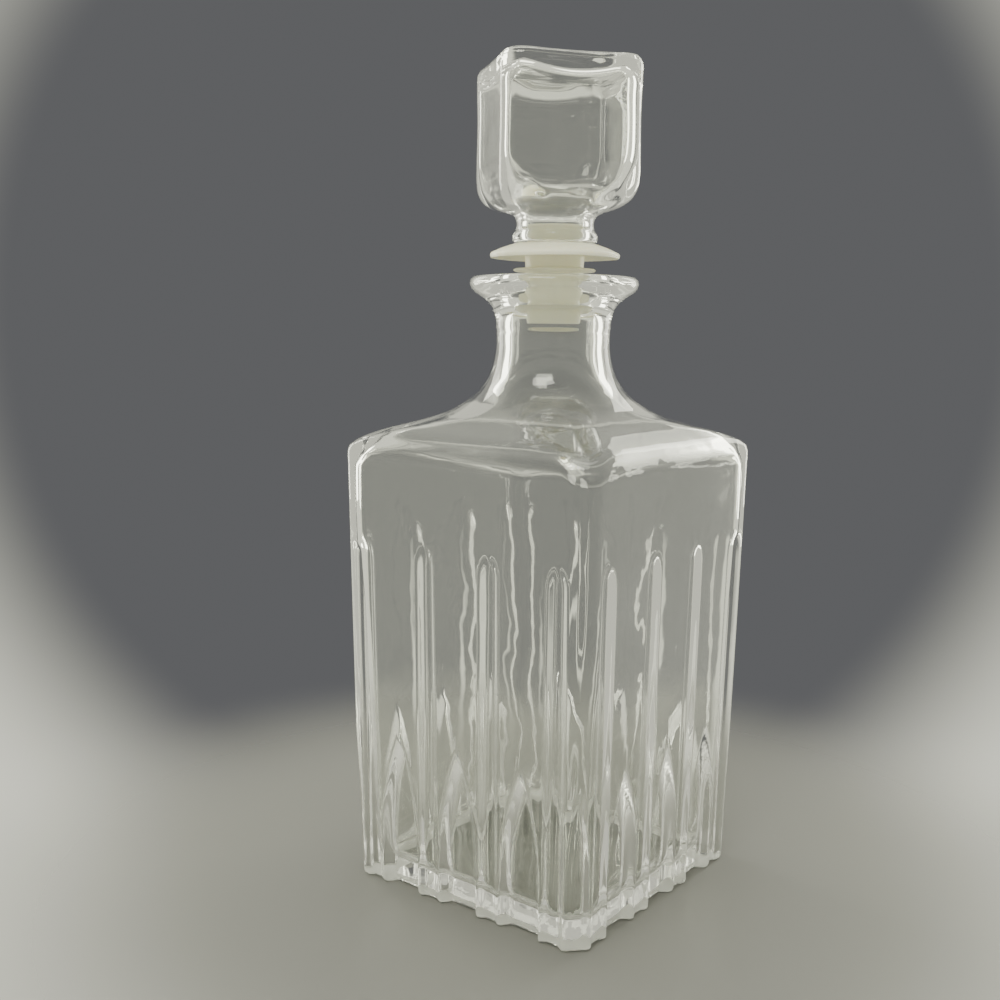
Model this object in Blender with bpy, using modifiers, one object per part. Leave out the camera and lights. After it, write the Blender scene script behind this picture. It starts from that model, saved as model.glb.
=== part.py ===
"""Square pressed-glass decanter with a hollow glass stopper on a ribbed plastic plug.

Frame: metres, +Z up. The origin is the centre of the flat base, and the four faces
of the bottle look along +X, -X, +Y and -Y. The stopper lifts along +Z.

Three pieces:
  decanter_body  the glass bottle, one wall from the foot to the flared lip
  stopper_plug   the plastic seal: peg, flange, tapered skirt and two sealing fins
  stopper_head   the hollow glass block that sits on the plug's peg
"""

import math

import bmesh
import bpy
from mathutils import Matrix

MM = 0.001

# ---- Driving dimensions, in millimetres -------------------------------------------

BASE_HALF = 45.0          # half the width of the bottle across its flats, at the base
SHOULDER_HALF = 47.4      # the same at the top of the flat faces, so the faces lean out
SHOULDER_Z = 139.0        # top of the flat faces
CORNER_RADIUS = 6.0       # vertical corners of the bottle
FOOT_BEVEL = 1.3          # bevel around the bottom edge
INNER_HALF = 39.0         # half the width of the chamber just above its floor
FLOOR_Z = 5.8             # thickness of the glass under the chamber

BORE_RADIUS = 13.3        # neck bore
NECK_RADIUS = 17.8        # outside of the neck
LIP_RADIUS = 26.5         # widest point of the flared lip
LIP_Z = 193.3             # top of the lip

PITCH_RATIO = 0.52        # groove spacing as a share of the bottle's half width
FLUTE_TOP_Z = 114.0       # round tops of the tall flutes
FLUTE_HALF_WIDTH = 3.0
FLUTE_DEPTH = 1.5
LANCET_TOP_Z = 51.0       # pointed tops of the arches
LANCET_HALF_WIDTH = 7.6
LANCET_DEPTH = 4.0
CORNER_LANCET_HALF_WIDTH = 4.0
CORNER_LANCET_DEPTH = 1.6
STANDOFF = 0.37           # how far the groove cutters' axes stand off the wall
CUTTER_END_Z = -1.0       # the cutters run out below the base

PEG_RADIUS = 8.7          # plastic peg inside the glass collar
PLUG_SEAT_Z = 198.9       # lowest edge of the plug's flange
FLANGE_RISE = 1.0         # how much the flange's underside rises towards the skirt
FLANGE_RADIUS = 20.3
FIN_RADIUS = 13.0
FIN_THICKNESS = 1.3
SKIRT_TOP_RADIUS = 9.3
SKIRT_END_RADIUS = 8.4
SKIRT_END_Z = 178.6
CORE_END_RADIUS = 6.7     # the hollow that the mould leaves in the skirt, at its open end

HEAD_HALF = 21.8          # half the width of the stopper's glass block
HEAD_CORNER = 7.3
CAVITY_HALF = 18.6        # half the width of the hollow inside the block
HEAD_BOTTOM_Z = 203.7     # underside of the collar
HEAD_TOP_Z = 257.8
HEAD_TURN = math.radians(52.1)   # how the block stands turned against the bottle
COLLAR_RADIUS = 13.3
COLLAR_NECK_RADIUS = 12.0

STEPS_PER_EIGHTH = 8      # facets in each eighth of a lofted section
TURNED_STEPS = 48         # facets around a turned piece
CUTTER_STEPS = 16         # facets around a groove cutter

GLASS = (0.86, 0.88, 0.84, 1.0)
PLASTIC = (0.86, 0.82, 0.66, 1.0)


# ---- Scene and materials ----------------------------------------------------------

def empty_scene():
    """Remove whatever the file opened with."""
    for thing in list(bpy.data.objects):
        bpy.data.objects.remove(thing, do_unlink=True)


def make_collection(name):
    collection = bpy.data.collections.new(name)
    bpy.context.scene.collection.children.link(collection)
    return collection


def make_material(name, colour, roughness, transmission):
    material = bpy.data.materials.new(name)
    material.use_nodes = True
    shader = material.node_tree.nodes["Principled BSDF"]
    shader.inputs["Base Color"].default_value = colour
    shader.inputs["Roughness"].default_value = roughness
    shader.inputs["Metallic"].default_value = 0.0
    shader.inputs["Transmission Weight"].default_value = transmission
    shader.inputs["IOR"].default_value = 1.5
    material.diffuse_color = colour
    return material


# ---- Lofts between rounded squares and circles ------------------------------------

def section_angles():
    """Directions of a section's points, closer together towards the corners."""
    eighth = []
    for step in range(STEPS_PER_EIGHTH):
        share = 1.0 - step / STEPS_PER_EIGHTH
        eighth.append(math.radians(45.0) * (1.0 - share * share))
    quarter = list(eighth)
    quarter.append(math.radians(45.0))
    for angle in reversed(eighth[1:]):
        quarter.append(math.radians(90.0) - angle)
    return [angle + side * math.radians(90.0) for side in range(4) for angle in quarter]


def section_reach(angle, half, radius):
    """Distance from the axis to a square of this half width with rounded corners."""
    across = abs(math.cos(angle))
    along = abs(math.sin(angle))
    big = max(across, along)
    small = min(across, along)
    straight = half - radius
    if half * small <= straight * big:
        return half / big
    projected = straight * (big + small)
    return projected + math.sqrt(projected ** 2 - 2.0 * straight ** 2 + radius ** 2)


def add_ring(mesh, half, radius, height, droop):
    """One section; droop lowers its corners below the middles of its sides."""
    ring = []
    diagonal = section_reach(math.radians(45.0), half, radius) / half - 1.0
    for angle in section_angles():
        reach = section_reach(angle, half, radius)
        corner_share = (reach / half - 1.0) / diagonal if diagonal > 1e-6 else 0.0
        z = height - droop * corner_share ** 2
        ring.append(mesh.verts.new((reach * math.cos(angle) * MM, reach * math.sin(angle) * MM, z * MM)))
    return ring


def loft(name, sections, material, collection):
    """A closed solid through sections of (half width, corner radius, height, droop)."""
    mesh = bmesh.new()
    rings = [add_ring(mesh, *section) for section in sections]
    count = len(rings[0])
    for lower, upper in zip(rings, rings[1:]):
        for index in range(count):
            after = (index + 1) % count
            mesh.faces.new((lower[index], lower[after], upper[after], upper[index]))
    mesh.faces.new(list(reversed(rings[0])))
    mesh.faces.new(rings[-1])
    bmesh.ops.recalc_face_normals(mesh, faces=mesh.faces)
    return finish_mesh(name, mesh, material, collection)


def finish_mesh(name, mesh, material, collection):
    data = bpy.data.meshes.new(name)
    mesh.to_mesh(data)
    mesh.free()
    data.shade_smooth()
    data.set_sharp_from_angle(angle=math.radians(30.0))
    if material:
        data.materials.append(material)
    thing = bpy.data.objects.new(name, data)
    collection.objects.link(thing)
    return thing


def round_sections(points):
    """Sections of a turned stretch, given as (radius, height)."""
    return [(radius, radius, height, 0.0) for radius, height in points]


# ---- Turned shapes ----------------------------------------------------------------

def turned(name, profile, steps, collection, material=None):
    """A profile of (radius, height) turned about Z; it runs down its outer side."""
    mesh = bmesh.new()
    points = [mesh.verts.new((radius * MM, 0.0, height * MM)) for radius, height in profile]
    for upper, lower in zip(points, points[1:]):
        mesh.edges.new((upper, lower))
    thing = finish_mesh(name, mesh, material, collection)
    screw = thing.modifiers.new("turn", "SCREW")
    screw.steps = steps
    screw.render_steps = steps
    screw.use_merge_vertices = True
    screw.merge_threshold = 0.00001
    screw.use_smooth_shade = True
    return thing


# ---- Grooves pressed into the bottle ----------------------------------------------

def flute_profile():
    """A slender groove with a round top, from below the base to FLUTE_TOP_Z."""
    shoulder = FLUTE_TOP_Z - 2.0 * FLUTE_HALF_WIDTH
    profile = []
    for step in range(7):
        turn = math.radians(90.0) * step / 6
        profile.append((FLUTE_HALF_WIDTH * math.sin(turn),
                        shoulder + 2.0 * FLUTE_HALF_WIDTH * math.cos(turn)))
    profile.append((FLUTE_HALF_WIDTH, CUTTER_END_Z))
    profile.append((0.0, CUTTER_END_Z))
    return profile


def lancet_profile(half_width):
    """A pointed arch: straight sides, then two arcs that meet at LANCET_TOP_Z."""
    spring = 0.5 * LANCET_TOP_Z
    profile = []
    for step in range(9):
        share = 1.0 - step / 8
        profile.append((half_width * (1.0 - share * share), spring + share * (LANCET_TOP_Z - spring)))
    profile.append((half_width, CUTTER_END_Z))
    profile.append((0.0, CUTTER_END_Z))
    return profile


def cutter_mesh(profile, half_width, depth):
    """A turned groove shape, flattened so that it cuts to the given depth."""
    scratch = turned("scratch", profile, CUTTER_STEPS, bpy.context.scene.collection)
    graph = bpy.context.evaluated_depsgraph_get()
    data = bpy.data.meshes.new_from_object(scratch.evaluated_get(graph))
    data.transform(Matrix.Scale(depth / half_width, 4, (1.0, 0.0, 0.0)))
    bpy.data.objects.remove(scratch, do_unlink=True)
    return data


def face_place(side, along):
    """A point on the foot line of one face; grooves fan out as the bottle widens."""
    widening = (SHOULDER_HALF - BASE_HALF) / SHOULDER_Z
    turn = Matrix.Rotation(math.radians(90.0) * side, 4, "Z")
    place = Matrix.Translation(((BASE_HALF + STANDOFF) * MM, along * MM, 0.0))
    lean_out = Matrix.Rotation(math.atan(widening), 4, "Y")
    lean_aside = Matrix.Rotation(-math.atan(widening * along / BASE_HALF), 4, "X")
    return turn @ place @ lean_out @ lean_aside


def corner_place(side):
    """A point on the foot line of one vertical corner."""
    reach = section_reach(math.radians(45.0), BASE_HALF, CORNER_RADIUS) + STANDOFF
    lean = math.atan(math.sqrt(2.0) * (SHOULDER_HALF - BASE_HALF) / SHOULDER_Z)
    turn = Matrix.Rotation(math.radians(90.0) * side + math.radians(45.0), 4, "Z")
    return turn @ Matrix.Translation((reach * MM, 0.0, 0.0)) @ Matrix.Rotation(lean, 4, "Y")


def make_cutter(name, placed_meshes, collection):
    """One cutter object from separate groove shapes, each given with its matrix."""
    mesh = bmesh.new()
    for data, place in placed_meshes:
        copy = data.copy()
        copy.transform(place)
        mesh.from_mesh(copy)
        bpy.data.meshes.remove(copy)
    thing = finish_mesh(name, mesh, None, collection)
    thing.hide_render = True
    thing.display_type = "WIRE"
    return thing


def cut(thing, cutter):
    boolean = thing.modifiers.new(cutter.name, "BOOLEAN")
    boolean.operation = "DIFFERENCE"
    boolean.solver = "EXACT"
    boolean.object = cutter


def groove_cutters(collection):
    """Tall flutes and pointed arches around all four faces and corners."""
    pitch = PITCH_RATIO * BASE_HALF
    flute = cutter_mesh(flute_profile(), FLUTE_HALF_WIDTH, FLUTE_DEPTH)
    lancet = cutter_mesh(lancet_profile(LANCET_HALF_WIDTH), LANCET_HALF_WIDTH, LANCET_DEPTH)
    corner_lancet = cutter_mesh(lancet_profile(CORNER_LANCET_HALF_WIDTH),
                                CORNER_LANCET_HALF_WIDTH, CORNER_LANCET_DEPTH)
    flutes = []
    lancets = []
    for side in range(4):
        for step in (-1.5, -0.5, 0.5, 1.5):
            flutes.append((flute, face_place(side, step * pitch)))
        for step in (-1, 0, 1):
            lancets.append((lancet, face_place(side, step * pitch)))
        lancets.append((corner_lancet, corner_place(side)))
    return [make_cutter("flute_cutter", flutes, collection),
            make_cutter("lancet_cutter", lancets, collection)]


# ---- The three pieces -------------------------------------------------------------

def body_sections():
    """Sections of the bottle: up the outside, over the lip and down the inside."""
    outside = [
        (BASE_HALF - FOOT_BEVEL, CORNER_RADIUS - 0.5, 0.0, 0.0),
        (BASE_HALF, CORNER_RADIUS, FOOT_BEVEL, 0.0),
        (SHOULDER_HALF, CORNER_RADIUS, SHOULDER_Z, 0.0),
        (47.1, 6.6, 141.2, 0.7),
        (46.0, 8.0, 143.2, 1.4),
        (43.5, 11.5, 145.0, 1.6),
        (38.5, 17.0, 147.0, 1.3),
        (32.0, 21.5, 149.8, 0.6),
        (26.4, 23.0, 153.8, 0.0),
    ]
    neck = [
        (22.3, 158.5), (20.0, 162.0), (18.6, 166.0), (NECK_RADIUS, 171.0), (NECK_RADIUS, 177.3),
        (18.1, 178.0), (18.5, 181.0), (20.4, 185.2), (23.0, 187.7), (25.7, 189.4),
        (LIP_RADIUS, 191.0), (26.0, 192.4), (24.2, LIP_Z), (17.2, LIP_Z), (14.6, 192.5),
        (BORE_RADIUS, 190.3), (BORE_RADIUS, 168.0), (14.4, 163.4), (16.6, 159.2), (19.6, 154.8),
    ]
    inside = [
        (24.5, 22.0, 150.4, 0.0),
        (32.0, 19.0, 145.6, 0.6),
        (38.0, 14.0, 142.2, 1.2),
        (41.6, 10.5, 138.6, 1.0),
        (42.4, 9.5, 134.0, 0.0),
        (INNER_HALF + 1.2, 9.5, 60.0, 0.0),
        (INNER_HALF, 9.5, 12.5, 0.0),
        (38.0, 9.5, 8.6, 0.0),
        (35.2, 9.0, FLOOR_Z + 0.6, 0.0),
        (29.0, 8.0, FLOOR_Z, 0.0),
    ]
    return outside + round_sections(neck) + inside


def make_body(material, parts, cutters):
    body = loft("decanter_body", body_sections(), material, parts)
    for cutter in groove_cutters(cutters):
        cut(body, cutter)
    return body


def head_sections():
    """Sections of the hollow block: up the outside, dished on top, open at the collar."""
    cavity = [
        (8.0, 4.0, HEAD_TOP_Z - 6.6, 0.0),
        (14.0, 5.0, HEAD_TOP_Z - 5.4, 0.0),
        (17.5, 5.0, HEAD_TOP_Z - 4.4, 0.0),
        (CAVITY_HALF, 5.0, HEAD_TOP_Z - 6.8, 0.0),
        (CAVITY_HALF, 5.0, 225.5, 0.0),
        (17.9, 5.6, 221.4, 0.0),
        (15.6, 7.2, 218.2, 0.0),
        (12.0, 10.0, 215.6, 0.0),
    ]
    collar_bore = round_sections([(9.4, 213.2), (9.0, 211.0), (9.0, HEAD_BOTTOM_Z)])
    collar = round_sections([
        (COLLAR_RADIUS - 0.4, HEAD_BOTTOM_Z), (COLLAR_RADIUS, HEAD_BOTTOM_Z + 0.5),
        (COLLAR_RADIUS, 206.1), (12.3, 207.3), (COLLAR_NECK_RADIUS, 209.2), (12.6, 211.4),
    ])
    block = [
        (14.6, 12.6, 212.9, 0.0),
        (17.4, 11.2, 213.9, 0.0),
        (19.9, 9.2, 215.8, 0.0),
        (21.3, 7.9, 218.8, 0.0),
        (HEAD_HALF, HEAD_CORNER, 222.4, 0.0),
        (HEAD_HALF, HEAD_CORNER, HEAD_TOP_Z - 2.6, 0.0),
        (21.4, 7.2, HEAD_TOP_Z - 1.1, 0.0),
        (20.5, 6.8, HEAD_TOP_Z - 0.2, 0.0),
        (19.4, 6.4, HEAD_TOP_Z, 0.0),
        (17.2, 6.2, HEAD_TOP_Z - 0.4, 0.0),
        (9.0, 5.0, HEAD_TOP_Z - 1.2, 0.0),
    ]
    return cavity + collar_bore + collar + block


def make_head(material, parts):
    head = loft("stopper_head", head_sections(), material, parts)
    head.rotation_euler = (0.0, 0.0, HEAD_TURN)
    return head


def skirt_radius(height):
    """Radius of the plug's tapered skirt at a height."""
    share = (PLUG_SEAT_Z - height) / (PLUG_SEAT_Z - SKIRT_END_Z)
    return SKIRT_TOP_RADIUS + share * (SKIRT_END_RADIUS - SKIRT_TOP_RADIUS)


def fin_profile(height):
    """A thin sealing fin around the skirt, centred on a height."""
    half = 0.5 * FIN_THICKNESS
    return [
        (skirt_radius(height + half), height + half + 0.1),
        (FIN_RADIUS - 0.2, height + half - 0.1),
        (FIN_RADIUS, height),
        (FIN_RADIUS - 0.2, height - half + 0.1),
        (skirt_radius(height - half), height - half - 0.1),
    ]


def plug_profile():
    """The plug from the top of its peg, down its outside and up its hollow skirt."""
    peg = [(0.0, 208.8), (PEG_RADIUS - 0.5, 208.8), (PEG_RADIUS, 208.2), (PEG_RADIUS, 203.4)]
    flange = [
        (12.9, 203.3),
        (19.9, 200.6),
        (FLANGE_RADIUS, 199.9),
        (FLANGE_RADIUS - 0.2, PLUG_SEAT_Z),
        (SKIRT_TOP_RADIUS, PLUG_SEAT_Z + FLANGE_RISE),
    ]
    end = [
        (SKIRT_END_RADIUS, SKIRT_END_Z + 0.6),
        (SKIRT_END_RADIUS - 0.5, SKIRT_END_Z),
        (CORE_END_RADIUS, SKIRT_END_Z),
        (CORE_END_RADIUS + 0.5, 196.6),
        (0.0, 197.2),
    ]
    return peg + flange + fin_profile(195.2) + fin_profile(186.0) + end


def main():
    empty_scene()
    parts = make_collection("decanter")
    cutters = make_collection("cutters")
    glass = make_material("clear_glass", GLASS, 0.03, 1.0)
    plastic = make_material("cream_plastic", PLASTIC, 0.4, 0.0)
    make_body(glass, parts, cutters)
    make_head(glass, parts)
    turned("stopper_plug", plug_profile(), TURNED_STEPS, parts, plastic)


main()
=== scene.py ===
"""Looks for a square pressed-glass decanter: fine glass surfaces, materials, studio and camera."""

import math

import bpy
import numpy as np
from mathutils import Matrix, Vector


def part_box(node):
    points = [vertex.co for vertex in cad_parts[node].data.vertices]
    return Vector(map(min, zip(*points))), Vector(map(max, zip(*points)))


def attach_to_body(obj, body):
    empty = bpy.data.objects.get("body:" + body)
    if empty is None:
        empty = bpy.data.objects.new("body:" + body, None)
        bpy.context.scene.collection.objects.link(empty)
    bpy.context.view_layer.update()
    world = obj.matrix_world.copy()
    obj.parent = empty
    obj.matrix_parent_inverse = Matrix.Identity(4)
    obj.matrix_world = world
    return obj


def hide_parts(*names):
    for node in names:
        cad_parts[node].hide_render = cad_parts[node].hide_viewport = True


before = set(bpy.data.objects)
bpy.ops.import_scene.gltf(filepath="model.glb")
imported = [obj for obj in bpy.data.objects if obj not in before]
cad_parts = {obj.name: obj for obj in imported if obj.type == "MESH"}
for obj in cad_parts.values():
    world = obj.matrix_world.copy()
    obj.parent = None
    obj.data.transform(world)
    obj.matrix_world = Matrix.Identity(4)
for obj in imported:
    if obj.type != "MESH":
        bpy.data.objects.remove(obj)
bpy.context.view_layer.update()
MM = 0.001

# ---- Sizes in millimetres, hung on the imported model's boxes ------------------------

BODY_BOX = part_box("decanter_body")
HEAD_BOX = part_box("stopper_head")
PLUG_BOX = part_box("stopper_plug")

SHOULDER_HALF = BODY_BOX[1].x / MM      # half the bottle's width at the top of its faces
LIP_Z = BODY_BOX[1].z / MM              # top of the lip
HEAD_TOP_Z = HEAD_BOX[1].z / MM
HEAD_FOOT_Z = HEAD_BOX[0].z / MM
PLUG_TOP_Z = PLUG_BOX[1].z / MM
PLUG_END_Z = PLUG_BOX[0].z / MM
FLANGE_RADIUS = PLUG_BOX[1].x / MM

BASE_HALF = SHOULDER_HALF - 2.4         # half the width at the base
SHOULDER_Z = 139.0                      # top of the flat faces
CORNER_RADIUS = 6.0
FOOT_Z = 3.0                            # top of the foot's bevel, where the flat faces start
LIP_RADIUS = 26.5
BORE_RADIUS = 13.3
FLOOR_Z = 5.6                           # chamber floor
DROOP_START = 0.55                      # the shoulder droops from this share of the way to a corner

# Grooves: places are shares of the half width, sizes are millimetres.
FLUTE_PLACES = (-0.78, -0.26, 0.26, 0.78)
FLUTE_TOP_Z = 113.6
FLUTE_HALF_WIDTH = 3.5
FLUTE_SPREAD = 0.5                      # how much wider a flute is at the base
FLUTE_ROUND_TOP = 2.2 * FLUTE_HALF_WIDTH
FLUTE_DEPTH = 1.25
FLUTE_BEVEL = 2.4                       # width of a flute's sloping sides
LANCET_PLACES = (-0.52, 0.0, 0.52)
LANCET_TOP_Z = 51.5
LANCET_SPRING_Z = 16.0                  # above this the arch narrows to its point
LANCET_HALF_WIDTH = 7.6
LANCET_DEPTH = 3.2
LANCET_BEVEL = 3.0
CORNER_HALF_WIDTH = 4.2
CORNER_DEPTH = 1.3
BEARING_HALF = 34.0                     # the foot rests on a ring outside this half width
BEARING_TOP_Z = 0.4

# Slow waves in the chamber's wall.
RIPPLE_START_Z = 16.0
RIPPLE_END_Z = 142.0
RIPPLE_FADE = 12.0                      # over this height they come and go
RIPPLE_LEAST_HALF = 20.0                # the neck, which is narrower than this, has none
RIPPLE_DEPTH = 0.16
DRIFT_DEPTH = 0.18

HEAD_TURN = math.radians(52.1)          # how the stopper's block stands turned
HEAD_HALF = 21.8
HEAD_SAG = 0.7                          # how far the block's top sags between its corners
HEAD_SAG_REACH = 6.0                    # and how far down the sag is felt
CAVITY_HALF = 18.6                      # half the width of the hollow in the block
CAVITY_SAG = 3.8
CAVITY_SAG_REACH = 12.0

PEG_RADIUS = 8.7
SEAT_Z = PLUG_END_Z + 20.3              # lowest edge of the plug's flange
FIN_RADIUS = 12.95
UPPER_FIN = (195.2, 9.1)                # height and root radius
LOWER_FIN = (186.0, 8.7)
FLASH_START = 16.0                      # the flange's flash and nick lie outside this radius
NICK_TURN = 2.5                         # radians round from +X
NICK_WIDTH = 0.03
NICK_DEPTH = 0.5

# Heights at which the bottle's rows change their spacing.
ARCHES_END_Z = LANCET_TOP_Z + 0.5
SHAFTS_END_Z = 104.0
FLUTES_END_Z = 116.0
WALL_END_Z = SHOULDER_Z - 4.0

COLUMNS = 464                           # points around the bottle
HEAD_COLUMNS = 256
PLUG_COLUMNS = 160


# ---- Surfaces lofted through sections ----------------------------------------------

def smooth_through(stations, spacing):
    """Rows on a smooth curve through the stations, about this far apart.

    A station is (half width, corner radius, height, droop). The curve is a centripetal
    Catmull-Rom spline measured on half width and height.
    """
    points = np.array(stations, dtype=float)
    first = 2 * points[0] - points[1]
    last = 2 * points[-1] - points[-2]
    points = np.vstack([first, points, last])
    rows = []
    for index in range(1, len(points) - 2):
        p0, p1, p2, p3 = points[index - 1:index + 3]
        gaps = [max(math.hypot(b[0] - a[0], b[2] - a[2]), 1e-3) ** 0.5
                for a, b in ((p0, p1), (p1, p2), (p2, p3))]
        length = math.hypot(p2[0] - p1[0], p2[2] - p1[2])
        count = max(1, round(length / spacing))
        slope1 = gaps[1] * ((p1 - p0) / gaps[0] - (p2 - p0) / (gaps[0] + gaps[1]) + (p2 - p1) / gaps[1])
        slope2 = gaps[1] * ((p2 - p1) / gaps[1] - (p3 - p1) / (gaps[1] + gaps[2]) + (p3 - p2) / gaps[2])
        for step in range(count):
            t = step / count
            rows.append((2 * t ** 3 - 3 * t ** 2 + 1) * p1 + (t ** 3 - 2 * t ** 2 + t) * slope1
                        + (3 * t ** 2 - 2 * t ** 3) * p2 + (t ** 3 - t ** 2) * slope2)
    rows.append(points[-2])
    return np.array(rows)


def joined_rows(*bands):
    """Rows of several bands, each (stations, spacing), that start where the last one ended."""
    rows = [smooth_through(stations, spacing) for stations, spacing in bands]
    return np.vstack([band[:-1] for band in rows[:-1]] + [rows[-1]])


def round_stations(profile):
    """Stations of a round section, from pairs of radius and height."""
    return [(radius, radius, height, 0.0) for radius, height in profile]


def outline(half, radius, columns):
    """Points and outward normals of a rounded square, and where each point lies on its side.

    Where it lies is given twice: as a distance from the side's middle, which is negative on
    one half, and as a share of the way from there to the nearest corner.
    """
    side = np.arange(columns) * 4 // columns
    share = (np.arange(columns) * 4 / columns) % 1.0 - 0.5
    flat = half - radius
    run = share * (2 * flat + 0.5 * math.pi * radius)
    turn = np.maximum(np.abs(run) - flat, 0.0) / radius
    sign = np.sign(run)
    x = flat + radius * np.cos(turn)
    y = np.where(np.abs(run) <= flat, run, sign * (flat + radius * np.sin(turn)))
    angle = side * 0.5 * math.pi
    normal_angle = angle + sign * turn
    points = np.stack([x * np.cos(angle) - y * np.sin(angle), x * np.sin(angle) + y * np.cos(angle)], -1)
    normals = np.stack([np.cos(normal_angle), np.sin(normal_angle)], -1)
    corner = np.abs(share) * 2.0
    return points, normals, run, corner


def loft_rows(rows, columns, shape):
    """Points of a loft as an array of rows; shape says how far each moves inwards and upwards."""
    grid = np.zeros((len(rows), columns, 3))
    for index, (half, radius, height, droop) in enumerate(rows):
        points, normals, run, corner = outline(half, min(radius, half), columns)
        fall = droop * np.clip((corner - DROOP_START) / (1.0 - DROOP_START), 0.0, 1.0) ** 2
        inward, lift = shape(half, radius, height, run, corner)
        grid[index, :, :2] = points - normals * np.reshape(inward + np.zeros(columns), (-1, 1))
        grid[index, :, 2] = height - fall + lift
    return grid


def mesh_from_grid(name, grid):
    """A closed tube of quads through the grid's rows, with flat caps at its two ends."""
    rows, columns = grid.shape[:2]
    index = np.arange(rows * columns).reshape(rows, columns)
    after = np.roll(index, -1, axis=1)
    quads = np.stack([index[:-1], after[:-1], after[1:], index[1:]], -1).reshape(-1, 4)
    faces = quads.tolist() + [index[0][::-1].tolist(), index[-1].tolist()]
    data = bpy.data.meshes.new(name)
    data.from_pydata((grid.reshape(-1, 3) * MM).tolist(), [], faces)
    data.validate()
    data.shade_smooth()
    thing = bpy.data.objects.new(name, data)
    bpy.context.scene.collection.objects.link(thing)
    return thing


def bevelled(inset, bevel, depth):
    """Depth of a flat-bottomed groove with sloping sides, at this distance in from its edge."""
    share = np.clip(inset / bevel, 0.0, 1.0)
    return depth * share * share * (3.0 - 2.0 * share)


# ---- The bottle ---------------------------------------------------------------------

def flute_depth(offset, height):
    """Depth of a tall round-topped flute at this distance from its middle."""
    width = FLUTE_HALF_WIDTH + FLUTE_SPREAD * (1.0 - height / FLUTE_TOP_Z)
    past = max(0.0, height - (FLUTE_TOP_Z - FLUTE_ROUND_TOP)) * width / FLUTE_ROUND_TOP
    return bevelled(width - np.hypot(offset, past), FLUTE_BEVEL, FLUTE_DEPTH)


def lancet_depth(offset, height, half_width, depth):
    """Depth of a pointed arch at this distance from its middle."""
    rise = max(0.0, height - LANCET_SPRING_Z) / (LANCET_TOP_Z - LANCET_SPRING_Z)
    width = half_width * (1.0 - rise ** 2)
    return bevelled(width - np.abs(offset), LANCET_BEVEL, depth)


def grooves(half, radius, height, run, corner):
    """How far the outer wall is pressed in at each point of one section."""
    depth = np.zeros_like(run)
    if height < FLUTE_TOP_Z:
        for place in FLUTE_PLACES:
            depth = np.maximum(depth, flute_depth(run - place * half, height))
    if height < LANCET_TOP_Z:
        for place in LANCET_PLACES:
            arch = lancet_depth(run - place * half, height, LANCET_HALF_WIDTH, LANCET_DEPTH)
            depth = np.maximum(depth, arch)
        to_corner = (half - radius) + 0.25 * math.pi * radius
        arch = lancet_depth(np.abs(run) - to_corner, height, CORNER_HALF_WIDTH, CORNER_DEPTH)
        depth = np.maximum(depth, arch)
    return depth, 0.0


def ripples(half, radius, height, run, corner):
    """Slow waves that the plunger left in the chamber's wall."""
    if height > RIPPLE_END_Z or half < RIPPLE_LEAST_HALF:
        return 0.0, 0.0
    phase = height / 6.1 + 0.9 * np.sin(run / 11.0 + half) + 0.35 * np.sin(height / 17.0)
    wave = RIPPLE_DEPTH * np.sin(phase)
    drift = DRIFT_DEPTH * np.sin(run / 9.5 + height / 45.0)
    fade_in = min(1.0, max(0.0, (height - RIPPLE_START_Z) / RIPPLE_FADE))
    fade_out = min(1.0, max(0.0, (RIPPLE_END_Z - height) / RIPPLE_FADE))
    return fade_in * fade_out * (wave + drift), 0.0


def wall_half(height):
    """Half the bottle's width at this height on its flat faces, which lean out a little."""
    return BASE_HALF + (SHOULDER_HALF - BASE_HALF) * height / SHOULDER_Z


def wall_stations(*heights):
    """Stations up the flat faces at these heights."""
    return [(wall_half(height), CORNER_RADIUS, height, 0.0) for height in heights]


def outer_stations():
    """The bottle's outside in two parts: the edge of its base, and from its shoulder up to its lip."""
    base = [
        (BASE_HALF - 2.6, 4.6, 0.0, 0.0),
        (BASE_HALF - 1.4, 5.4, 0.0, 0.0),
        (BASE_HALF - 0.5, 5.8, 0.35, 0.0),
        (BASE_HALF, CORNER_RADIUS, 1.3, 0.0),
    ]
    shoulder = [
        (SHOULDER_HALF - 0.02, CORNER_RADIUS, SHOULDER_Z, 0.2),
        (SHOULDER_HALF - 0.3, 6.4, 141.2, 0.7),
        (SHOULDER_HALF - 1.4, 7.6, 143.2, 1.4),
        (SHOULDER_HALF - 4.0, 11.0, 145.1, 1.6),
        (38.5, 16.5, 147.0, 1.3),
        (32.0, 21.5, 149.8, 0.6),
        (26.4, 23.0, 153.8, 0.1),
        (22.3, 22.3, 158.5, 0.0),
    ]
    neck = [
        (20.0, 162.0), (18.6, 166.0), (17.8, 171.0), (17.75, 174.5), (17.8, 176.9), (18.12, 177.5),
        (17.92, 178.2), (18.35, 181.0), (19.05, 183.4), (20.4, 185.2), (22.6, 186.9), (24.7, 188.2),
        (25.9, 189.4), (LIP_RADIUS, 190.9), (26.2, 192.2), (25.2, LIP_Z - 0.25), (23.4, LIP_Z),
    ]
    return base, shoulder + round_stations(neck)


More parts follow.
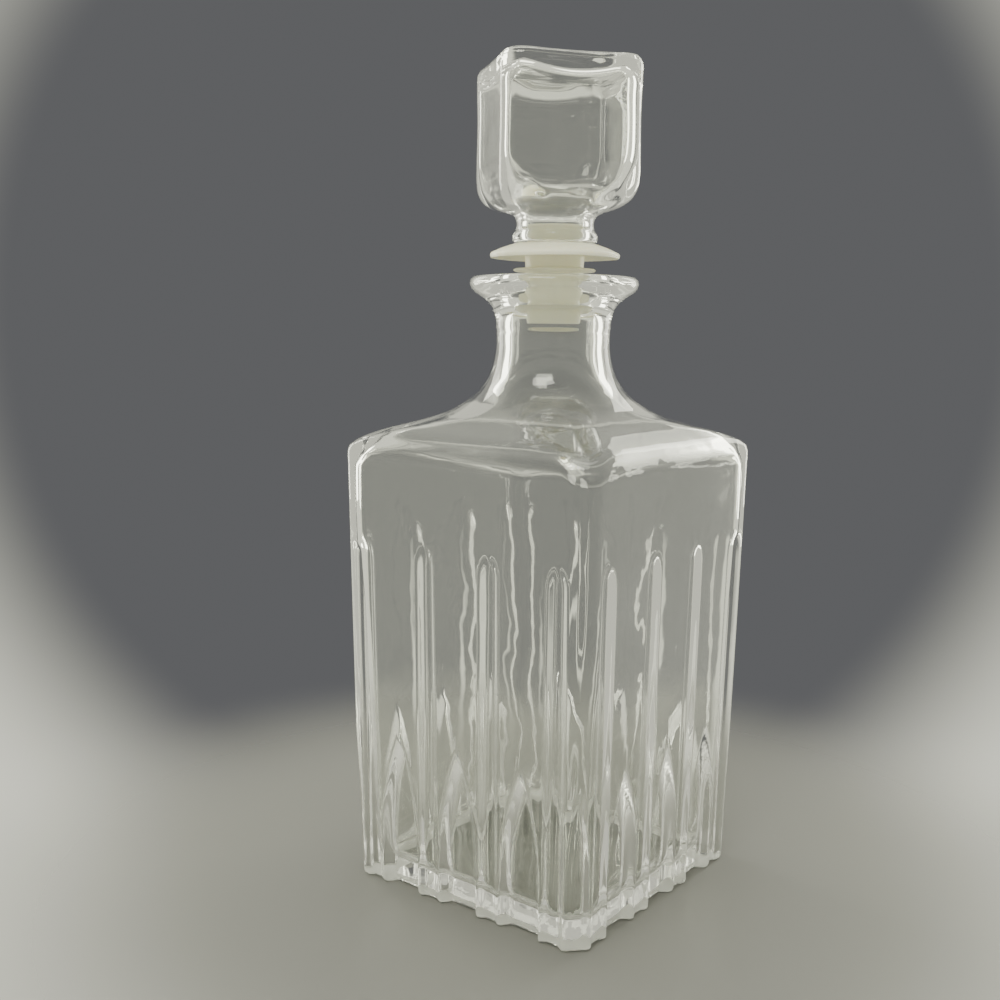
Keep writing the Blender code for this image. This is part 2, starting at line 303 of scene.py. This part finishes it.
def inner_stations():
    """The bottle's inside in three parts: from the lip to the shoulder, the wall, and the floor."""
    mouth = [
        (20.4, LIP_Z), (17.2, LIP_Z - 0.1), (15.2, LIP_Z - 0.7), (13.9, LIP_Z - 1.9),
        (BORE_RADIUS, LIP_Z - 3.6), (BORE_RADIUS, 184.0), (BORE_RADIUS, 174.0), (13.35, 168.5),
        (14.3, 163.6), (16.5, 159.2), (19.6, 154.9),
    ]
    shoulder = [
        (24.5, 22.0, 150.6, 0.0),
        (32.0, 18.5, 146.3, 0.6),
        (38.5, 12.5, 143.0, 1.1),
        (42.8, 7.6, 139.8, 0.8),
        (44.4, 5.2, 134.5, 0.0),
    ]
    wall = [
        shoulder[-1],
        (44.2, 4.6, 120.0, 0.0),
        (42.9, 4.8, 90.0, 0.0),
        (41.4, 5.4, 60.0, 0.0),
        (40.0, 6.0, 30.0, 0.0),
        (39.2, 6.4, 12.5, 0.0),
    ]
    floor = [
        wall[-1],
        (38.2, 6.2, 8.2, 0.0),
        (35.4, 6.0, FLOOR_Z + 0.5, 0.0),
        (30.0, 6.0, FLOOR_Z, 0.0),
        (18.0, 6.0, FLOOR_Z + 0.1, 0.0),
    ]
    return round_stations(mouth) + shoulder, wall, floor


def make_bottle(material):
    """Rows lie close together where the grooves end and far apart along their straight shafts."""
    base, shoulder_and_neck = outer_stations()
    outside = joined_rows(
        (base + wall_stations(FOOT_Z), 0.6),
        (wall_stations(FOOT_Z, 30.0, ARCHES_END_Z), 1.5),
        (wall_stations(ARCHES_END_Z, 90.0, SHAFTS_END_Z), 6.0),
        (wall_stations(SHAFTS_END_Z, FLUTES_END_Z), 1.0),
        (wall_stations(FLUTES_END_Z, WALL_END_Z) + shoulder_and_neck, 1.8),
    )
    for row in outside:
        if FOOT_Z < row[2] < WALL_END_Z:
            row[0] = wall_half(row[2])      # the faces are quite flat
    mouth, wall, floor = inner_stations()
    inside = joined_rows((mouth, 1.8), (wall, 4.0), (floor, 1.4))
    grid = np.vstack([loft_rows(outside, COLUMNS, grooves), loft_rows(inside, COLUMNS, ripples)])
    grid[:, :, 2] = np.maximum(grid[:, :, 2], 0.0)      # the curve through the base dips a little
    bottle = mesh_from_grid("glass_bottle", grid)
    bottle.data.materials.append(material)
    return bottle


# ---- The stopper --------------------------------------------------------------------

def sagging(depth, reach, edge):
    """A shape for loft_rows: the top sags, but not at the corners of a section this half wide."""
    def shape(half, radius, height, run, corner):
        share = max(0.0, (height - (HEAD_TOP_Z - reach)) / reach)
        return 0.0, -depth * min(1.0, share) * (1.0 - (corner * min(1.0, half / edge)) ** 2)
    return shape


def head_stations():
    """The hollow block: down its cavity and out through its bore, then up its outside."""
    cavity = [
        (3.0, 2.0, HEAD_TOP_Z - 2.6, 0.0),
        (9.0, 4.0, HEAD_TOP_Z - 2.5, 0.0),
        (13.4, 5.0, HEAD_TOP_Z - 2.4, 0.0),
        (16.2, 5.2, HEAD_TOP_Z - 2.5, 0.0),
        (17.5, 5.2, HEAD_TOP_Z - 3.6, 0.0),
        (CAVITY_HALF, 5.2, HEAD_TOP_Z - 6.0, 0.0),
        (CAVITY_HALF + 0.1, 5.2, HEAD_TOP_Z - 12.0, 0.0),
        (CAVITY_HALF, 5.2, 228.0, 0.0),
        (17.6, 5.4, 223.2, 0.0),
        (16.2, 6.4, 219.8, 0.0),
        (13.2, 8.4, 217.0, 0.0),
    ]
    bore = [(9.9, 214.2), (9.05, 212.0), (9.0, 209.0), (9.0, HEAD_FOOT_Z + 0.4), (9.4, HEAD_FOOT_Z)]
    collar = [
        (12.6, HEAD_FOOT_Z), (13.2, HEAD_FOOT_Z + 0.5), (13.3, HEAD_FOOT_Z + 1.3), (13.1, 206.1),
        (12.3, 207.1), (12.0, 208.7), (12.1, 210.3), (12.9, 211.8),
    ]
    block = [
        (14.8, 12.4, 212.9, 0.0),
        (17.5, 11.0, 213.9, 0.0),
        (19.9, 9.2, 215.8, 0.0),
        (21.3, 7.9, 218.8, 0.0),
        (HEAD_HALF - 0.05, 7.3, 222.6, 0.0),
        (HEAD_HALF, 7.3, 228.0, 0.0),
        (HEAD_HALF - 0.15, 7.3, 240.0, 0.0),
        (HEAD_HALF, 7.2, HEAD_TOP_Z - 4.4, 0.0),
        (HEAD_HALF - 0.2, 7.1, HEAD_TOP_Z - 2.0, 0.0),
        (HEAD_HALF - 1.0, 6.9, HEAD_TOP_Z - 0.5, 0.0),
        (HEAD_HALF - 2.2, 6.6, HEAD_TOP_Z - 0.02, 0.0),
        (HEAD_HALF - 4.4, 6.2, HEAD_TOP_Z - 0.4, 0.0),
        (12.0, 5.4, HEAD_TOP_Z - 1.0, 0.0),
        (4.0, 3.0, HEAD_TOP_Z - 1.2, 0.0),
    ]
    return cavity + round_stations(bore), round_stations(collar) + block


def make_head(material):
    inside, outside = head_stations()
    ceiling = sagging(CAVITY_SAG, CAVITY_SAG_REACH, CAVITY_HALF)
    top = sagging(HEAD_SAG, HEAD_SAG_REACH, HEAD_HALF)
    hollow = loft_rows(smooth_through(inside, 0.8), HEAD_COLUMNS, ceiling)
    skin = loft_rows(smooth_through(outside, 0.8), HEAD_COLUMNS, top)
    head = mesh_from_grid("glass_stopper", np.vstack([hollow, skin]))
    head.data.transform(Matrix.Rotation(HEAD_TURN, 4, "Z"))
    head.data.materials.append(material)
    return head


def fin_profile(height, root):
    """A thin sealing fin with a rounded edge, from its upper root round to its lower one."""
    upper = [(root, 0.85), (root + 0.5, 0.55), (FIN_RADIUS - 0.5, 0.42)]
    lower = [(radius, -rise) for radius, rise in reversed(upper)]
    return [(radius, height + rise) for radius, rise in upper + [(FIN_RADIUS, 0.0)] + lower]


def plug_stations():
    """The plug from the top of its peg, down its outside and up its hollow skirt."""
    peg = [
        (1.0, PLUG_TOP_Z), (PEG_RADIUS - 1.1, PLUG_TOP_Z), (PEG_RADIUS - 0.4, PLUG_TOP_Z - 0.2),
        (PEG_RADIUS, PLUG_TOP_Z - 0.8), (PEG_RADIUS, PLUG_TOP_Z - 3.0), (PEG_RADIUS, 203.5),
    ]
    flange = [
        (12.8, 203.25), (16.5, 202.0), (19.8, 200.55), (FLANGE_RADIUS - 0.05, 200.1),
        (FLANGE_RADIUS, 199.6), (FLANGE_RADIUS - 0.25, SEAT_Z), (19.4, SEAT_Z),
        (10.0, SEAT_Z + 0.9), (9.3, SEAT_Z + 0.6),
    ]
    skirt = [(8.95, 190.5), (8.85, 188.6)]
    end = [(8.55, 182.0), (8.4, PLUG_END_Z + 0.8), (8.0, PLUG_END_Z), (7.0, PLUG_END_Z)]
    core = [(6.7, PLUG_END_Z + 0.4), (7.2, 195.6), (6.6, 196.6), (1.0, 197.2)]
    profile = peg + flange + fin_profile(*UPPER_FIN) + skirt + fin_profile(*LOWER_FIN) + end + core
    return round_stations(profile)


def ragged(half, radius, height, run, corner):
    """The flange's rim keeps a little flash, has one nick and isn't quite flat."""
    if half < FLASH_START:
        return 0.0, 0.0
    turn = np.arange(len(run)) * 2.0 * math.pi / len(run)
    share = (half - FLASH_START) / (FLANGE_RADIUS - FLASH_START)
    nick = NICK_DEPTH * np.exp(-((turn - NICK_TURN) / NICK_WIDTH) ** 2)
    flash = 0.07 * (1.0 + np.sin(17.0 * turn + 2.0 * np.sin(5.0 * turn)))
    return share * (flash + nick), share * 0.10 * np.sin(3.0 * turn + 1.0)


def make_plug(material):
    grid = loft_rows(np.array(plug_stations()), PLUG_COLUMNS, ragged)
    plug = mesh_from_grid("seal_plug", grid)
    plug.data.set_sharp_from_angle(angle=math.radians(40.0))
    plug.data.materials.append(material)
    return plug


# ---- Materials ----------------------------------------------------------------------

GLASS_COLOUR = (0.975, 0.985, 0.95, 1.0)
CREAM = (0.93, 0.90, 0.68, 1.0)
PALE_CREAM = (0.98, 0.96, 0.80, 1.0)
ROOM_COLOUR = (0.95, 0.95, 0.80, 1.0)   # the bright room all around
MOST_REFLECTIONS = 4.0                  # the renderer follows this many reflections of a ray
MOST_BOUNCES = 12.0                     # and this many bounces of any kind
PAINTED_GLOW_TONE = 0.35                     # brightness of the painted glow that stands in for what such a ray would have reached


def new_material(name):
    material = bpy.data.materials.new(name)
    material.use_nodes = True
    nodes = material.node_tree.nodes
    return material, nodes, material.node_tree.links, nodes["Principled BSDF"]


def noise(nodes, links, scale, detail, coordinates):
    texture = nodes.new("ShaderNodeTexNoise")
    texture.inputs["Scale"].default_value = scale
    texture.inputs["Detail"].default_value = detail
    links.new(coordinates, texture.inputs["Vector"])
    return texture.outputs["Fac"]


def spread(nodes, links, value, low, high):
    """The value's middle range mapped to low..high."""
    mapped = nodes.new("ShaderNodeMapRange")
    mapped.inputs["From Min"].default_value = 0.3
    mapped.inputs["From Max"].default_value = 0.7
    mapped.inputs["To Min"].default_value = low
    mapped.inputs["To Max"].default_value = high
    links.new(value, mapped.inputs["Value"])
    return mapped.outputs["Result"]


def bump(nodes, links, height, strength, distance):
    node = nodes.new("ShaderNodeBump")
    node.inputs["Strength"].default_value = strength
    node.inputs["Distance"].default_value = distance
    links.new(height, node.inputs["Height"])
    return node.outputs["Normal"]


def math_node(nodes, links, operation, first, second=None):
    """One arithmetic node; the second value may be a number or a socket."""
    node = nodes.new("ShaderNodeMath")
    node.operation = operation
    links.new(first, node.inputs[0])
    if isinstance(second, float):
        node.inputs[1].default_value = second
    elif second is not None:
        links.new(second, node.inputs[1])
    return node.outputs["Value"]


def bearing_ring(nodes, links, place):
    """One where the foot's outer edge rests on the table, and nought elsewhere."""
    parts = nodes.new("ShaderNodeSeparateXYZ")
    links.new(place, parts.inputs["Vector"])
    across = math_node(nodes, links, "ABSOLUTE", parts.outputs["X"])
    along = math_node(nodes, links, "ABSOLUTE", parts.outputs["Y"])
    reach = math_node(nodes, links, "MAXIMUM", across, along)
    near_edge = math_node(nodes, links, "GREATER_THAN", reach, BEARING_HALF * MM)
    low = math_node(nodes, links, "LESS_THAN", parts.outputs["Z"], BEARING_TOP_Z * MM)
    return math_node(nodes, links, "MULTIPLY", near_edge, low)


def blend(nodes, links, factor, first, second):
    """A value that goes from the first socket or number to the second with the factor."""
    mix = nodes.new("ShaderNodeMix")
    links.new(factor, mix.inputs["Factor"])
    for name, value in (("A", first), ("B", second)):
        if isinstance(value, float):
            mix.inputs[name].default_value = value
        else:
            links.new(value, mix.inputs[name])
    return mix.outputs["Result"]


def trapped_light(nodes, links):
    """One where the renderer gives up on a ray that is still being reflected inside the glass.

    Real light leaks out to the bright room in the end, so such places aren't left black: the glass is given
    a painted glow there instead.
    """
    path = nodes.new("ShaderNodeLightPath")
    reflected = math_node(nodes, links, "GREATER_THAN", path.outputs["Glossy Depth"], MOST_REFLECTIONS - 0.5)
    followed = math_node(nodes, links, "GREATER_THAN", path.outputs["Ray Depth"], MOST_BOUNCES - 0.5)
    return math_node(nodes, links, "MAXIMUM", reflected, followed)


def glass_material(name, wave, stippled_foot=False):
    """Clear glass with a soft orange-peel wave, a faint bloom of handling, maybe a stippled foot, and a
    painted glow in the room's colour where the renderer gives up on a ray.
    """
    material, nodes, links, shader = new_material(name)
    place = nodes.new("ShaderNodeTexCoord").outputs["Object"]
    shader.inputs["Base Color"].default_value = GLASS_COLOUR
    shader.inputs["Transmission Weight"].default_value = 1.0
    shader.inputs["IOR"].default_value = 1.51
    roughness = spread(nodes, links, noise(nodes, links, 38.0, 4.0, place), 0.0, 0.035)
    if stippled_foot:
        ring = bearing_ring(nodes, links, place)
        roughness = blend(nodes, links, ring, roughness, 0.35)
        links.new(blend(nodes, links, ring, 1.0, 0.3), shader.inputs["Transmission Weight"])
    links.new(roughness, shader.inputs["Roughness"])
    # Painted light: where the renderer stops following a ray inside the glass, the glass glows in the room's
    # colour.
    shader.inputs["Emission Color"].default_value = ROOM_COLOUR
    painted_glow = math_node(nodes, links, "MULTIPLY", trapped_light(nodes, links), PAINTED_GLOW_TONE)
    links.new(painted_glow, shader.inputs["Emission Strength"])
    material.cycles.emission_sampling = "NONE"
    peel = noise(nodes, links, 95.0, 1.5, place)
    links.new(bump(nodes, links, peel, wave, 0.001), shader.inputs["Normal"])
    return material


def plastic_material():
    """Cream moulded polythene, slightly see-through and softly mottled."""
    material, nodes, links, shader = new_material("cream_polythene")
    place = nodes.new("ShaderNodeTexCoord").outputs["Object"]
    shader.inputs["Subsurface Weight"].default_value = 0.35
    shader.inputs["Subsurface Radius"].default_value = (1.0, 0.85, 0.6)
    shader.inputs["Subsurface Scale"].default_value = 0.004
    shader.inputs["IOR"].default_value = 1.5
    tone = nodes.new("ShaderNodeMix")
    tone.data_type = "RGBA"
    tone.inputs["A"].default_value = CREAM
    tone.inputs["B"].default_value = PALE_CREAM
    links.new(noise(nodes, links, 160.0, 5.0, place), tone.inputs["Factor"])
    links.new(tone.outputs["Result"], shader.inputs["Base Color"])
    grain = noise(nodes, links, 900.0, 3.0, place)
    links.new(spread(nodes, links, grain, 0.32, 0.5), shader.inputs["Roughness"])
    links.new(bump(nodes, links, grain, 0.25, 0.0004), shader.inputs["Normal"])
    return material


# ---- Studio and camera --------------------------------------------------------------

VIEW_TURN = math.radians(38.14)         # how far round the camera stands
TOWARDS_CAMERA = Vector((math.sin(VIEW_TURN), -math.cos(VIEW_TURN), 0.0))
TO_THE_RIGHT = Vector((math.cos(VIEW_TURN), math.sin(VIEW_TURN), 0.0))

SCREEN_COLOUR = (0.118, 0.120, 0.125, 1.0)  # the dark screen behind the object
SCREEN_INNER = math.cos(math.radians(22.0))
SCREEN_OUTER = math.cos(math.radians(31.0))

FLOOR_COLOUR = (0.20, 0.20, 0.192, 1.0)
FLOOR_RADIUS = 0.45                     # metres, like all the studio's sizes
FLOOR_DROP = 0.0002                     # the floor lies this far below the foot
FADE_START = 0.09
FADE_END = 0.24

LIT_POINT = Vector((0.0, 0.0, 0.13))    # what the soft boxes point at
SOFT_BOXES = (                          # places to the right, towards the camera and up; size; radiance
    ("right_rim_box", 0.66, -0.62, 0.36, (0.30, 0.8), 6.5),
    ("left_rim_box", -0.66, -0.62, 0.36, (0.30, 0.8), 6.5),
    ("top_box", 0.0, -0.15, 1.05, (0.6, 0.4), 3.0),
    ("key_box", -0.25, 0.55, 0.95, (0.5, 0.3), 11.0),
)

CAMERA_PLACE = (0.2226, -0.3097, 0.1771)
CAMERA_TILT = math.radians(8.16)        # how far it looks down
CAMERA_ROLL = math.radians(0.66)
CAMERA_LENS = 43.1                      # millimetres, on a sensor 36 mm wide


def make_floor():
    """A pale round table top that fades out softly well inside its edge."""
    material, nodes, links, shader = new_material("studio_floor")
    shader.inputs["Base Color"].default_value = FLOOR_COLOUR
    shader.inputs["Roughness"].default_value = 0.45
    distance = nodes.new("ShaderNodeVectorMath")
    distance.operation = "LENGTH"
    links.new(nodes.new("ShaderNodeTexCoord").outputs["Object"], distance.inputs[0])
    fade = nodes.new("ShaderNodeMapRange")
    fade.interpolation_type = "SMOOTHERSTEP"
    fade.inputs["From Min"].default_value = FADE_START
    fade.inputs["From Max"].default_value = FADE_END
    fade.inputs["To Min"].default_value = 1.0
    fade.inputs["To Max"].default_value = 0.0
    links.new(distance.outputs["Value"], fade.inputs["Value"])
    links.new(fade.outputs["Result"], shader.inputs["Alpha"])
    bpy.ops.mesh.primitive_circle_add(vertices=96, radius=FLOOR_RADIUS, fill_type="NGON")
    floor = bpy.context.object
    floor.location.z = -FLOOR_DROP
    floor.name = "studio_floor"
    floor.data.materials.append(material)


def area_light(name, place, size, radiance):
    """A soft box with this radiance, seen in the glass but not by the camera itself."""
    data = bpy.data.lights.new(name, "AREA")
    data.shape = "RECTANGLE"
    data.size, data.size_y = size
    data.energy = radiance * math.pi * size[0] * size[1]
    data.color = ROOM_COLOUR[:3]
    lamp = bpy.data.objects.new(name, data)
    lamp.location = place
    lamp.rotation_euler = (LIT_POINT - place).to_track_quat("-Z", "Y").to_euler()
    lamp.visible_camera = False
    bpy.context.scene.collection.objects.link(lamp)


def make_world():
    """A bright soft room with a dark screen behind the object, so that the glass's edges shine."""
    world = bpy.data.worlds.new("studio")
    world.use_nodes = True
    bpy.context.scene.world = world
    nodes = world.node_tree.nodes
    links = world.node_tree.links
    direction = nodes.new("ShaderNodeTexCoord").outputs["Generated"]
    towards_screen = nodes.new("ShaderNodeVectorMath")
    towards_screen.operation = "DOT_PRODUCT"
    towards_screen.inputs[1].default_value = -TOWARDS_CAMERA
    links.new(direction, towards_screen.inputs[0])
    screen = nodes.new("ShaderNodeMapRange")
    screen.interpolation_type = "SMOOTHSTEP"
    screen.inputs["From Min"].default_value = SCREEN_OUTER
    screen.inputs["From Max"].default_value = SCREEN_INNER
    links.new(towards_screen.outputs["Value"], screen.inputs["Value"])
    tone = nodes.new("ShaderNodeMix")
    tone.data_type = "RGBA"
    tone.inputs["A"].default_value = ROOM_COLOUR
    tone.inputs["B"].default_value = SCREEN_COLOUR
    links.new(screen.outputs["Result"], tone.inputs["Factor"])
    links.new(tone.outputs["Result"], nodes["Background"].inputs["Color"])


def make_lights():
    """Two standing boxes behind the object's sides, one overhead and one above the camera."""
    for name, right, forward, height, size, radiance in SOFT_BOXES:
        place = right * TO_THE_RIGHT + forward * TOWARDS_CAMERA + Vector((0.0, 0.0, height))
        area_light(name, place, size, radiance)


def make_camera():
    """The camera as solved from the bottle's edges: 38 degrees round, a little above."""
    back = TOWARDS_CAMERA * math.cos(CAMERA_TILT) + Vector((0.0, 0.0, math.sin(CAMERA_TILT)))
    right = Vector((0.0, 0.0, 1.0)).cross(back).normalized()
    up = back.cross(right)
    rolled_right = math.cos(CAMERA_ROLL) * right + math.sin(CAMERA_ROLL) * up
    rolled_up = math.cos(CAMERA_ROLL) * up - math.sin(CAMERA_ROLL) * right
    data = bpy.data.cameras.new("camera")
    data.lens = CAMERA_LENS
    data.sensor_width = 36.0
    data.clip_start = 0.01
    camera = bpy.data.objects.new("camera", data)
    axes = Matrix((rolled_right, rolled_up, back)).transposed().to_4x4()
    camera.matrix_world = Matrix.Translation(CAMERA_PLACE) @ axes
    bpy.context.scene.collection.objects.link(camera)
    bpy.context.scene.camera = camera


# ---- Putting it together ------------------------------------------------------------

def attach(piece, body, node):
    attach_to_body(piece, body)
    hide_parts(node)


pressed_glass = glass_material("pressed_glass", 0.10, stippled_foot=True)
attach(make_bottle(pressed_glass), "bottle", "decanter_body")
blown_glass = glass_material("blown_glass", 0.07)
attach(make_head(blown_glass), "head", "stopper_head")
attach(make_plug(plastic_material()), "plug", "stopper_plug")

make_floor()
make_world()
make_lights()
make_camera()
